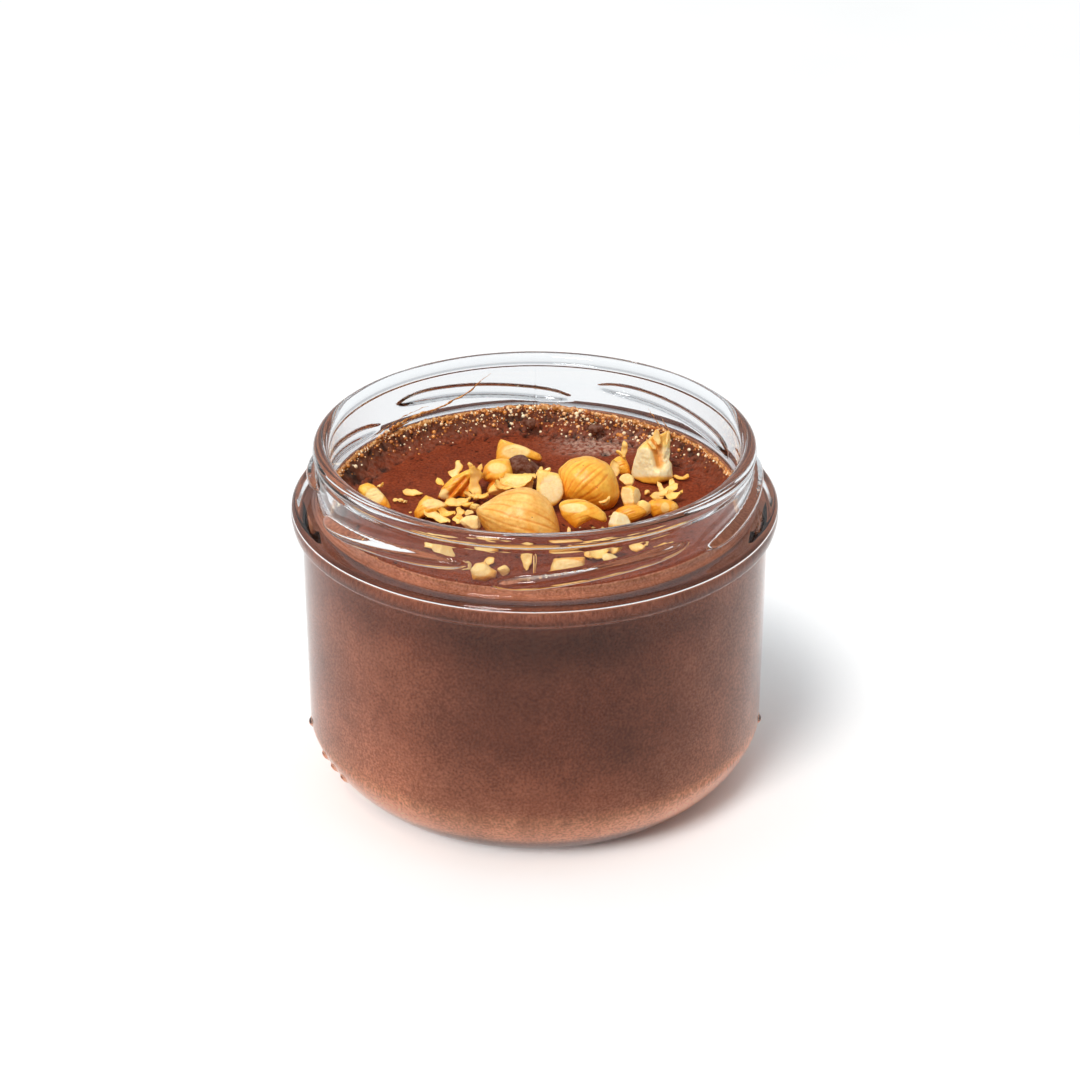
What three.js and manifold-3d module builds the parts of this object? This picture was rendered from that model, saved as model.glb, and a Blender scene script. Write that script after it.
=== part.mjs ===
// Chocolate mousse in a low wide twist-off glass jar, topped with whole and broken hazelnuts.
// Millimetres, +Z up. The origin is the centre of the jar's foot, on the surface it stands on.
import * as THREE from 'three';
import { mergeVertices } from 'three/addons/utils/BufferGeometryUtils.js';
import Module from 'manifold-3d';

// Driving dimensions of the jar.
const JAR_HEIGHT = 66.4;
const SHOULDER_RADIUS = 44;
const BODY_TOP_RADIUS = 42.05;
const BODY_FOOT_RADIUS = 41.5;
const NECK_RADIUS = 39.3;
const MOUTH_RADIUS = 36.8;
const FOOT_RADIUS = 32;
const WALL = 2.5;
const FLOOR_HEIGHT = 3.6;
const HEEL_HEIGHT = 11.6;
const BODY_TOP_HEIGHT = 50.3;
const SHOULDER_HEIGHT = 53.7;
const LEDGE_HEIGHT = 55;
const JAR_STEPS = 42;

// The six thread lugs on the neck, which rise anticlockwise seen from above.
const LUG_COUNT = 6;
const LUG_SPAN = 52;
const FIRST_LUG_AZIMUTH = 50;
const LUG_LOW_HEIGHT = 57.1;
const LUG_RISE = 2.9;
const LUG_PROUD = 1.75;
const LUG_HALF_WIDTH = 1.35;
const LUG_STEPS = 7;
const LUG_SECTION_STEPS = 4;

// Driving dimensions of the mousse.
const GAP = 0.3;
const NUT_CLEARANCE = 0.4;
const MOUSSE_LEVEL = 52.1;
const BANK_START_RADIUS = 31.6;
const BANK_LEVEL = 55.15;

// Nut pieces: how sharp their broken edges are, and how finely they are faceted.
const EDGE_POWER = 9;
const WHOLE_DETAIL = 3;
const PIECE_DETAIL = 2;
const CRUMB_DETAIL = 1;
const CRUMB_SIZE = 17;
const TIP_ANGLE = 0.42;

const GLASS_COLOUR = 0xdfe8e6;
const MOUSSE_COLOUR = 0x6e4433;
const KERNEL_COLOUR = 0xf0bf6a;

const wasm = await Module();
wasm.setup();

const degrees = THREE.MathUtils.degToRad;
const smooth = THREE.MathUtils.smoothstep;

// The point at a radius and height, at an azimuth counted from the front (-Y) towards +X.
function around(radius, azimuth, height) {
  const angle = degrees(azimuth);
  return new THREE.Vector3(radius * Math.sin(angle), -radius * Math.cos(angle), height);
}

function toSolid(geometry) {
  const bare = geometry.clone();
  bare.deleteAttribute('normal');
  bare.deleteAttribute('uv');
  const merged = mergeVertices(bare, 1e-4);
  const corners = merged.index.array;
  const triangles = [];
  for (let i = 0; i < corners.length; i += 3) {
    const [a, b, c] = corners.slice(i, i + 3);
    // A lathe leaves triangles without area where its outline meets the axis.
    if (a !== b && b !== c && c !== a) triangles.push(a, b, c);
  }
  return new wasm.Manifold(new wasm.Mesh({
    numProp: 3,
    vertProperties: new Float32Array(merged.attributes.position.array),
    triVerts: new Uint32Array(triangles),
  }));
}

function toGeometry(solid) {
  const { vertProperties, triVerts } = solid.getMesh();
  const geometry = new THREE.BufferGeometry();
  geometry.setAttribute('position', new THREE.BufferAttribute(new Float32Array(vertProperties), 3));
  geometry.setIndex(new THREE.BufferAttribute(new Uint32Array(triVerts), 1));
  geometry.computeVertexNormals();
  return geometry;
}

// Points of an arc in the lathe's outline, in (radius, height), from one angle to another in degrees.
function arc(centreRadius, centreHeight, radius, from, to, steps) {
  return Array.from({ length: steps + 1 }, (_, i) => {
    const angle = degrees(from + ((to - from) * i) / steps);
    return new THREE.Vector2(centreRadius + radius * Math.cos(angle), centreHeight + radius * Math.sin(angle));
  });
}

// A corner between a floor and a wall that is flatter than a circle's, from the floor outwards.
function easedCorner(innerRadius, outerRadius, lowHeight, highHeight, power, steps) {
  return Array.from({ length: steps + 1 }, (_, i) => {
    const angle = (Math.PI / 2) * (i / steps);
    return new THREE.Vector2(
      innerRadius + (outerRadius - innerRadius) * Math.sin(angle) ** (2 / power),
      highHeight - (highHeight - lowHeight) * Math.cos(angle) ** (2 / power),
    );
  });
}

// The inside of the glass from the floor's edge up to the ledge under the neck.
// The mousse follows the same line, one gap further in.
function insideLine(inset) {
  const floorHeight = FLOOR_HEIGHT + inset;
  const wallRadius = BODY_FOOT_RADIUS - WALL - inset;
  return [
    ...easedCorner(30.6, wallRadius, floorHeight, 12.8, 1.43, 5),
    new THREE.Vector2(BODY_TOP_RADIUS - WALL - inset, 48.2),
    new THREE.Vector2(38.4 - inset, 51.7),
    new THREE.Vector2(MOUTH_RADIUS - inset, 54.6),
  ];
}

function lathe(outline) {
  const geometry = new THREE.LatheGeometry(outline, JAR_STEPS);
  geometry.rotateX(Math.PI / 2);
  return geometry;
}

function jarBody() {
  const point = (radius, height) => new THREE.Vector2(radius, height);
  const rimBead = 1.45;
  const beadRadius = MOUTH_RADIUS + rimBead;
  return toSolid(lathe([
    point(0, 1.6),
    point(27, 0.8),
    point(29.4, 0),
    point(31.3, 0),
    ...easedCorner(FOOT_RADIUS, BODY_FOOT_RADIUS, 0.5, HEEL_HEIGHT, 1.38, 5),
    point(BODY_TOP_RADIUS, BODY_TOP_HEIGHT),
    point(43.4, 51.2),
    point(SHOULDER_RADIUS, SHOULDER_HEIGHT),
    point(43.4, 54.7),
    point(42.3, LEDGE_HEIGHT),
    point(40, 54.6),
    point(NECK_RADIUS, LEDGE_HEIGHT),
    point(NECK_RADIUS, 63.3),
    ...arc(beadRadius, JAR_HEIGHT - rimBead, rimBead, -30, 180, 5),
    ...insideLine(0).reverse(),
    point(0, FLOOR_HEIGHT),
  ]));
}

// One thread lug: a rounded rib that climbs and narrows at both ends.
function lug(startAzimuth) {
  const rootRadius = NECK_RADIUS - 0.6;
  const positions = [];
  for (let step = 0; step <= LUG_STEPS; step += 1) {
    const along = step / LUG_STEPS;
    const azimuth = startAzimuth + LUG_SPAN * along;
    const middle = LUG_LOW_HEIGHT + LUG_RISE * Math.sin((along * Math.PI) / 2) ** 1.15;
    const fullness = 0.3 + 0.7 * smooth(along, 0, 0.2) * (1 - smooth(along, 0.72, 1));
    const halfWidth = LUG_HALF_WIDTH * fullness;
    const proud = LUG_PROUD * Math.sqrt(fullness);
    around(rootRadius, azimuth, middle - halfWidth).toArray(positions, positions.length);
    for (let i = 0; i <= LUG_SECTION_STEPS; i += 1) {
      const turn = -Math.PI / 2 + (Math.PI * i) / LUG_SECTION_STEPS;
      const radius = NECK_RADIUS + proud * Math.cos(turn) ** 0.8;
      around(radius, azimuth, middle + halfWidth * Math.sin(turn)).toArray(positions, positions.length);
    }
    around(rootRadius, azimuth, middle + halfWidth).toArray(positions, positions.length);
  }
  const ring = LUG_SECTION_STEPS + 3;
  const index = [];
  for (let step = 0; step < LUG_STEPS; step += 1) {
    for (let i = 0; i < ring; i += 1) {
      const a = step * ring + i;
      const b = step * ring + ((i + 1) % ring);
      index.push(a, a + ring, b, b, a + ring, b + ring);
    }
  }
  const last = LUG_STEPS * ring;
  for (let i = 1; i < ring - 1; i += 1) {
    index.push(0, i, i + 1, last, last + i + 1, last + i);
  }
  const geometry = new THREE.BufferGeometry();
  geometry.setAttribute('position', new THREE.BufferAttribute(new Float32Array(positions), 3));
  geometry.setIndex(index);
  return toSolid(geometry);
}

function jar() {
  let solid = jarBody();
  for (let i = 0; i < LUG_COUNT; i += 1) {
    solid = solid.add(lug(FIRST_LUG_AZIMUTH + (360 / LUG_COUNT) * i));
  }
  return solid;
}

// Height of the line where the mousse meets the glass: it stands highest at the back left.
function bankHeight(azimuth) {
  const backRise = 0.65 * Math.exp(-(((Math.abs(azimuth) - 180) / 14) ** 2));
  return BANK_LEVEL + 0.35 * Math.cos(degrees(azimuth + 110)) + backRise;
}

// Height of the mousse's top: nearly flat, with a steep foamy bank round the glass.
function mousseTop(x, y) {
  const radius = Math.hypot(x, y);
  const azimuth = THREE.MathUtils.radToDeg(Math.atan2(x, -y));
  const startRadius = BANK_START_RADIUS + 0.7 * Math.sin(degrees(3 * azimuth + 40));
  const climb = THREE.MathUtils.clamp((radius - startRadius) / (MOUTH_RADIUS - GAP - startRadius), 0, 1);
  const swell = 0.25 * Math.sin(x / 6.5 + 1) * Math.cos(y / 7.5);
  return MOUSSE_LEVEL + swell * (1 - climb) + (bankHeight(azimuth) - MOUSSE_LEVEL) * climb ** 1.7;
}

function mousse(nuts) {
  const topRadii = [36.6, 35.6, 34.2, 32.4, 30, 24, 16, 8, 0];
  const topStart = 100;
  const geometry = lathe([
    new THREE.Vector2(0, FLOOR_HEIGHT + GAP),
    ...insideLine(GAP),
    ...topRadii.map((radius) => new THREE.Vector2(radius, topStart)),
  ]);
  const position = geometry.attributes.position;
  for (let i = 0; i < position.count; i += 1) {
    if (position.getZ(i) > topStart - 1) {
      position.setZ(i, mousseTop(position.getX(i), position.getY(i)));
    }
  }
  return nuts.reduce((solid, nut) => solid.subtract(nutSolid(nut, NUT_CLEARANCE)), toSolid(geometry));
}

// The distance from a nut piece's centre to its skin in one direction.
// The piece is an ellipsoid, turned as a whole. A whole nut tapers towards a tip at the end of its long axis.
// Each break is a flat face: the direction that it faces, and its distance from the centre.
// The hollow is a dent where the kernel's inner cavity is laid open.
function nutRadius(direction, nut) {
  const [halfLength, halfWidth, halfHeight] = nut.half;
  const local = direction.clone().applyQuaternion(nutTurn(nut).invert());
  const fromTip = local.angleTo(new THREE.Vector3(1, 0, 0));
  const tip = 1 + (nut.tip ?? 0) * Math.exp(-((fromTip / TIP_ANGLE) ** 2));
  const taper = 1 - (nut.taper ?? 0) * Math.sin(2 * fromTip);
  const plain = Math.hypot(local.x / halfLength, local.y / halfWidth, local.z / halfHeight);
  let sum = (plain / (tip * taper)) ** EDGE_POWER;
  for (const [x, y, z, distance] of nut.breaks ?? []) {
    const facing = direction.dot(new THREE.Vector3(x, y, z).normalize());
    if (facing > 0) sum += (facing / distance) ** EDGE_POWER;
  }
  let radius = sum ** (-1 / EDGE_POWER);
  if (nut.hollow) {
    const [x, y, z, depth] = nut.hollow;
    const angle = direction.angleTo(new THREE.Vector3(x, y, z));
    radius *= 1 - depth * (1 - smooth(angle, 0.1, 0.85));
  }
  return radius;
}

function nutTurn(nut) {
  const [x, y, z] = (nut.turn ?? [0, 0, 0]).map(degrees);
  return new THREE.Quaternion().setFromEuler(new THREE.Euler(x, y, z, 'ZYX'));
}

function nutSolid(nut, grow = 0) {
  const [halfLength, halfWidth, halfHeight] = nut.half;
  const isCrumb = halfLength * halfWidth * halfHeight < CRUMB_SIZE;
  const detail = isCrumb ? CRUMB_DETAIL : PIECE_DETAIL;
  const geometry = new THREE.IcosahedronGeometry(1, nut.tip ? WHOLE_DETAIL : detail);
  const position = geometry.attributes.position;
  const centre = new THREE.Vector3(...nut.at);
  const direction = new THREE.Vector3();
  for (let i = 0; i < position.count; i += 1) {
    direction.fromBufferAttribute(position, i).normalize();
    const point = direction.clone().multiplyScalar(nutRadius(direction, nut) + grow).add(centre);
    position.setXYZ(i, point.x, point.y, point.z);
  }
  return toSolid(geometry);
}

// Each nut: its centre, half sizes (length, width, height), turn in degrees about X, Y and Z, and flat breaks.
const NUTS = [
  {
    name: 'hazelnut_whole_front', at: [-2.9, -13.2, 56.8], half: [7, 5.7, 5.4], turn: [0, -4, 166],
    tip: 0.16, taper: 0.14,
  },
  {
    name: 'hazelnut_whole_back', at: [10, 2.9, 56.2], half: [5.7, 5.4, 5.4], turn: [0, -38, 10],
    tip: 0.06, taper: 0.05,
  },
  {
    name: 'hazelnut_shell_back', at: [-3.4, 18.1, 54.8], half: [4.9, 3.2, 4.2], turn: [0, 16, -6],
    breaks: [[-1, -0.1, 0.1, 3.8], [0.5, 0.35, 0.8, 2.6], [0.2, -1, -0.1, 2]], hollow: [0.3, -0.85, -0.5, 0.5],
  },
  {
    name: 'hazelnut_chunk_middle', at: [-6.5, 9.2, 54.2], half: [3.2, 3, 2.8], turn: [0, 0, 20],
    breaks: [[1, -0.7, 0.2, 2.3]],
  },
  {
    name: 'hazelnut_half_middle', at: [2.5, -0.6, 57.6], half: [3, 2.4, 5.2], turn: [10, 0, 0],
    breaks: [[-0.25, -0.85, 0.5, 1.1], [-1, 0.1, 0.1, 2.1], [0.5, 0.85, 0, 1.4], [0.3, 0, 1, 3.9]],
  },
  {
    name: 'hazelnut_half_front', at: [9, -13.4, 57.8], half: [5.3, 2.9, 2.9], turn: [0, 15, -4],
    breaks: [[0.45, -0.5, -0.75, 1.9], [-0.8, -0.1, -0.6, 3.4], [0.6, 0.1, 0.8, 2.6]],
    hollow: [0.7, -0.5, -0.6, 0.3],
  },
  {
    name: 'hazelnut_chunk_right', at: [21.6, 12.7, 56.4], half: [3.9, 3.7, 5.5], turn: [0, 20, 0],
    breaks: [[-0.6, -0.75, 0.3, 2.4], [0.75, -0.65, 0.2, 2.7], [-0.85, 0.1, 0.5, 2.8]],
  },
  {
    name: 'hazelnut_slice_left', at: [-28.9, 2.1, 53.8], half: [3.3, 2.3, 2.4], turn: [0, 0, -30],
    breaks: [[-0.1, -0.5, 0.9, 1.6], [0.8, 0.6, 0.1, 2]],
  },
  {
    name: 'hazelnut_chunk_left', at: [-18.7, -2.7, 53.8], half: [3.3, 2.7, 2.3], turn: [0, 8, 12],
    breaks: [[0.1, -0.35, 0.95, 1.6], [-0.6, -0.8, 0.1, 2.1], [0.5, -0.6, 0.6, 2]],
  },
  {
    name: 'hazelnut_curl_left', at: [-14.3, 5.7, 54.3], half: [4.2, 2, 2.5], turn: [0, -14, 38],
    breaks: [[0.3, -0.8, 0.3, 1.6]],
  },
  { name: 'hazelnut_chunk_back', at: [15.9, 14.2, 54], half: [1.8, 1.8, 2.6], turn: [0, 0, 0] },
  {
    name: 'hazelnut_chunk_centre', at: [17.3, 1.9, 53.6], half: [1.9, 1.9, 2.6], turn: [0, 10, 0],
    breaks: [[-0.7, -0.6, 0.2, 1.5]],
  },
  { name: 'hazelnut_slice_right', at: [17.2, -5, 53.8], half: [2.9, 1.9, 1.6], turn: [0, 0, 8] },
  {
    name: 'hazelnut_slice_front', at: [15.1, -10.2, 54.9], half: [2.1, 1.7, 2.2], turn: [0, 0, 25],
    breaks: [[-0.2, -0.9, 0.3, 1.2]],
  },
  { name: 'hazelnut_chunk_side', at: [23, -2.3, 53.6], half: [3, 1.9, 1.8], turn: [0, 6, 12] },
  {
    name: 'hazelnut_block_front', at: [5.6, -24.9, 53.7], half: [3.9, 3, 2.6], turn: [0, 0, 8],
    breaks: [[0, 0, 1, 1.9], [-0.1, -1, 0.1, 2.2], [1, -0.1, 0, 3], [-1, -0.1, 0, 3.1]],
  },
  { name: 'hazelnut_chunk_front', at: [-8.7, -25.8, 53.3], half: [2.3, 1.8, 1.9], turn: [0, 0, -15] },
];

function asMesh(name, solid, material) {
  const mesh = new THREE.Mesh(toGeometry(solid), material);
  mesh.name = name;
  return mesh;
}

const glass = new THREE.MeshStandardMaterial({
  color: GLASS_COLOUR, roughness: 0.05, metalness: 0, transparent: true, opacity: 0.35,
});
const mousseFoam = new THREE.MeshStandardMaterial({ color: MOUSSE_COLOUR, roughness: 0.7, metalness: 0 });
const kernel = new THREE.MeshStandardMaterial({ color: KERNEL_COLOUR, roughness: 0.5, metalness: 0 });

const dessert = new THREE.Group();
dessert.add(asMesh('jar', jar(), glass));
dessert.add(asMesh('mousse', mousse(NUTS), mousseFoam));
for (const nut of NUTS) {
  dessert.add(asMesh(nut.name, nutSolid(nut), kernel.clone()));
}

export default dessert;
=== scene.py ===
"""Chocolate mousse in a low glass jar with whole and broken hazelnuts on top."""

import math

import bmesh
import bpy
import numpy as np
from mathutils import Euler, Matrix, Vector


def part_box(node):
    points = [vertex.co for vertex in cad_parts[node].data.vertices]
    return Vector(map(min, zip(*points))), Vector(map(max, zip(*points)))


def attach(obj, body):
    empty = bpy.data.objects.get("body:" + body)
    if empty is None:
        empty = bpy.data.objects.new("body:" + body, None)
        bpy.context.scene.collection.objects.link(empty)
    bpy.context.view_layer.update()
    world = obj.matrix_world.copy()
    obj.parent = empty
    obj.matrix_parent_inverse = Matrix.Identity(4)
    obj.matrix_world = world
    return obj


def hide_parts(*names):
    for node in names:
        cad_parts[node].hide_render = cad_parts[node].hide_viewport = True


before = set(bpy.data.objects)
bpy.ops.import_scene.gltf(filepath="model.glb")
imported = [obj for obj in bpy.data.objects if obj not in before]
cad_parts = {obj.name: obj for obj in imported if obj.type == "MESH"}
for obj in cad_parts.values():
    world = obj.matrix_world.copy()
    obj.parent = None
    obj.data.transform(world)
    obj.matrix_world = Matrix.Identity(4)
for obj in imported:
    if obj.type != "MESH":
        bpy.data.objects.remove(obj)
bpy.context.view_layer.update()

MM = 0.001
JAR_LOW, JAR_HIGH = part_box("jar")
JAR_HEIGHT = (JAR_HIGH.z - JAR_LOW.z) / MM
SHOULDER_RADIUS = (JAR_HIGH.y - JAR_LOW.y) / 2 / MM
RANDOM_SEED = 7

# The jar's outline, in millimetres, as in the CAD model.
WALL = 2.5
FOOT_RADIUS = 32
HEEL_HEIGHT = 11.6
BODY_FOOT_RADIUS = 41.5
BODY_TOP_RADIUS = 42.05
BODY_TOP_HEIGHT = 50.3
LEDGE_HEIGHT = 55
NECK_RADIUS = 39.3
MOUTH_RADIUS = 36.8
RIM_BEAD = 1.45
BEAD_LOW = 63.3
BEAD_STEPS = 24
FLOOR_HEIGHT = 3.6

# The thread lugs on the neck.
LUG_COUNT = 6
LUG_SPAN = 52
FIRST_LUG = 50
LUG_LOW = 57.1
LUG_RISE = 2.9
LUG_PROUD = 1.7
LUG_HALF_WIDTH = 1.4

# The mousse.
INTO_WALL = 0.12
MOUSSE_LEVEL = 52.1
BANK_LEVEL = 55.15
BANK_START = 31.6
BUBBLES_BACK = 620
BUBBLES_LEFT = 260
FROTH_COUNT = 2300
STREAK_BUBBLES = 45
CRUMB_COUNT = 60

# The camera looks down by this many degrees, and the plane of the kernels' outlines leans back by as many.
LEAN = 26.7


# ---------------------------------------------------------------- numbers


def smoothstep(low, high, x):
    t = np.clip((np.asarray(x, float) - low) / (high - low), 0, 1)
    return t * t * (3 - 2 * t)


def hashed(cell, seed):
    """A repeatable number from 0 to 1 for each whole-numbered cell."""
    n = cell[..., 0] * 374761393 + cell[..., 1] * 668265263 + cell[..., 2] * 1274126177 + seed * 974634777
    n = (n ^ (n >> 13)) * 1103515245 & 0x7FFFFFFF
    n = (n ^ (n >> 15)) * 1540483477 & 0x7FFFFFFF
    return (n ^ (n >> 11)) % 65536 / 65535


def noise(points, size, seed=0):
    """Smooth noise from -1 to 1 with lumps of about this size."""
    p = np.asarray(points, float) / size
    cell = np.floor(p).astype(np.int64)
    f = p - cell
    u = f * f * f * (f * (f * 6 - 15) + 10)
    total = np.zeros(p.shape[:-1])
    for dx in (0, 1):
        for dy in (0, 1):
            for dz in (0, 1):
                step = np.array([dx, dy, dz])
                weight = np.prod(np.where(step == 1, u, 1 - u), axis=-1)
                total += weight * hashed(cell + step, seed)
    return total * 2 - 1


def rough(points, size, seed=0, octaves=3):
    """Noise with finer and finer lumps added."""
    total = sum(noise(points, size / 2**k, seed + k) / 2**k for k in range(octaves))
    return total / (2 - 0.5 ** (octaves - 1))


def cells(points, size, seed=0):
    """Distance to the nearest of many scattered points, in their spacing, and that point's own number."""
    p = np.asarray(points, float) / size
    cell = np.floor(p).astype(np.int64)
    best = np.full(p.shape[:-1], 9.0)
    own = np.zeros(p.shape[:-1])
    for dx in (-1, 0, 1):
        for dy in (-1, 0, 1):
            for dz in (-1, 0, 1):
                near = cell + np.array([dx, dy, dz])
                spot = near + np.stack([hashed(near, seed + k) for k in range(3)], axis=-1)
                distance = np.linalg.norm(p - spot, axis=-1)
                closer = distance < best
                best = np.where(closer, distance, best)
                own = np.where(closer, hashed(near, seed + 5), own)
    return best, own


def at_azimuth(radius, azimuth, height):
    """Points round the jar's axis; an azimuth is counted from the front towards the right."""
    turn = np.radians(azimuth)
    return np.stack(np.broadcast_arrays(radius * np.sin(turn), -radius * np.cos(turn), height), axis=-1)


# ---------------------------------------------------------------- meshes


def mesh_object(name, points_mm, faces, **attributes):
    """A smooth-shaded mesh from points in millimetres and arrays of faces, with attributes for each point."""
    corners = np.concatenate([group.ravel() for group in faces])
    sizes = np.concatenate([np.full(len(group), group.shape[1]) for group in faces])
    mesh = bpy.data.meshes.new(name)
    mesh.vertices.add(len(points_mm))
    mesh.vertices.foreach_set("co", (np.asarray(points_mm, np.float32) * MM).ravel())
    mesh.loops.add(len(corners))
    mesh.loops.foreach_set("vertex_index", corners.astype(np.int32))
    mesh.polygons.add(len(sizes))
    mesh.polygons.foreach_set("loop_start", (np.cumsum(sizes) - sizes).astype(np.int32))
    mesh.update(calc_edges=True)
    mesh.shade_smooth()
    for key, values in attributes.items():
        layer = mesh.attributes.new(key, "FLOAT", "POINT")
        layer.data.foreach_set("value", np.asarray(values, np.float32))
    obj = bpy.data.objects.new(name, mesh)
    bpy.context.scene.collection.objects.link(obj)
    return obj


def grid_faces(rows, columns, closed=True):
    """Quads between rows of points; closed joins each row's last point to its first."""
    row = np.arange(rows - 1)[:, None] * columns
    column = np.arange(columns if closed else columns - 1)[None, :]
    a, b = row + column, row + (column + 1) % columns
    return np.stack([a, b, b + columns, a + columns], axis=-1).reshape(-1, 4)


def fan_faces(centre, first, columns, flip=False):
    """Triangles from one point to a ring of points."""
    a = np.arange(columns)
    b = (a + 1) % columns
    pair = (b + first, a + first) if flip else (a + first, b + first)
    return np.stack([np.full(columns, centre), *pair], axis=-1)


def joined(parts):
    """Points, faces and one number for each point, from parts of (points, arrays of faces, number)."""
    points, faces, values, start = [], [], [], 0
    for part_points, part_faces, value in parts:
        points.append(part_points)
        faces += [group + start for group in part_faces]
        values.append(np.broadcast_to(value, len(part_points)))
        start += len(part_points)
    return np.concatenate(points), faces, np.concatenate(values)


def as_piece(obj, material, slot, *nodes):
    obj.data.materials.append(material)
    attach(obj, "root")
    if nodes:
        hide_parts(*nodes)
    return obj


# ---------------------------------------------------------------- materials


class Nodes:
    """Short names for building a material's nodes."""

    def __init__(self, name):
        self.material = bpy.data.materials.new(name)
        self.material.use_nodes = True
        self.tree = self.material.node_tree
        self.tree.nodes.clear()
        self.output = self.tree.nodes.new("ShaderNodeOutputMaterial")

    def add(self, kind, inputs=None, **settings):
        node = self.tree.nodes.new(kind)
        for key, value in settings.items():
            setattr(node, key, value)
        for key, value in (inputs or {}).items():
            if isinstance(value, bpy.types.NodeSocket):
                self.tree.links.new(value, node.inputs[key])
            else:
                node.inputs[key].default_value = value
        return node

    def position(self):
        return self.add("ShaderNodeTexCoord").outputs["Object"]

    def noise(self, size_mm, detail=3.0, vector=None, roughness=0.55):
        inputs = {"Vector": vector or self.position(), "Scale": 1 / (size_mm * MM), "Detail": detail,
                  "Roughness": roughness}
        return self.add("ShaderNodeTexNoise", inputs).outputs["Fac"]

    def ramp(self, value, *stops):
        """A colour ramp; each stop is (place, colour or grey level)."""
        node = self.add("ShaderNodeValToRGB", {"Fac": value})
        for index, (place, colour) in enumerate(stops):
            stop = node.color_ramp.elements[index] if index < 2 else node.color_ramp.elements.new(place)
            stop.position = place
            stop.color = (*colour, 1) if isinstance(colour, tuple) else (colour, colour, colour, 1)
        return node.outputs["Color"]

    def mix(self, factor, first, second, blend="MIX"):
        node = self.add("ShaderNodeMix", data_type="RGBA", blend_type=blend)
        for index, value in ((0, factor), (6, first), (7, second)):
            if isinstance(value, bpy.types.NodeSocket):
                self.tree.links.new(value, node.inputs[index])
            else:
                node.inputs[index].default_value = (*value, 1) if isinstance(value, tuple) else value
        return node.outputs[2]

    def times(self, first, second):
        return self.mix(1.0, first, second, "MULTIPLY")

    def math(self, operation, first, second=0.0):
        node = self.add("ShaderNodeMath", operation=operation)
        for index, value in enumerate((first, second)):
            if isinstance(value, bpy.types.NodeSocket):
                self.tree.links.new(value, node.inputs[index])
            else:
                node.inputs[index].default_value = value
        return node.outputs[0]

    def specks(self, spacing_mm):
        """Distance to the nearest of many scattered points."""
        inputs = {"Vector": self.position(), "Scale": 1 / (spacing_mm * MM)}
        return self.add("ShaderNodeTexVoronoi", inputs).outputs["Distance"]

    def attribute(self, name):
        return self.add("ShaderNodeAttribute", attribute_name=name).outputs["Fac"]

    def bump(self, height, distance_mm, strength=1.0, normal=None):
        inputs = {"Height": height, "Distance": distance_mm * MM, "Strength": strength}
        if normal:
            inputs["Normal"] = normal
        return self.add("ShaderNodeBump", inputs).outputs["Normal"]

    def finish(self, shader):
        self.tree.links.new(shader, self.output.inputs["Surface"])
        return self.material

    def surface(self, inputs):
        return self.finish(self.add("ShaderNodeBsdfPrincipled", inputs).outputs[0])


def glass_material():
    """Clear glass with its reflections turned down, which lets the lamp's light straight through."""
    n = Nodes("clear_glass")
    smudge = n.ramp(n.noise(9, 4), (0.35, 0.0), (0.75, 0.012))
    waves = n.bump(n.noise(14, 1.5), 0.04, 0.5)
    glass = n.add("ShaderNodeBsdfPrincipled", {
        "Base Color": (0.87, 0.887, 0.905, 1), "Roughness": smudge, "IOR": 1.5, "Transmission Weight": 1.0,
        "Specular Tint": (0.6, 0.6, 0.6, 1), "Normal": waves,
    })
    clear = n.add("ShaderNodeBsdfTransparent", {"Color": (0.86, 0.87, 0.88, 1)})
    lamp_ray = n.add("ShaderNodeLightPath").outputs["Is Shadow Ray"]
    both = n.add("ShaderNodeMixShader", {0: lamp_ray, 1: glass.outputs[0], 2: clear.outputs[0]})
    return n.finish(both.outputs[0])


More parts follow.
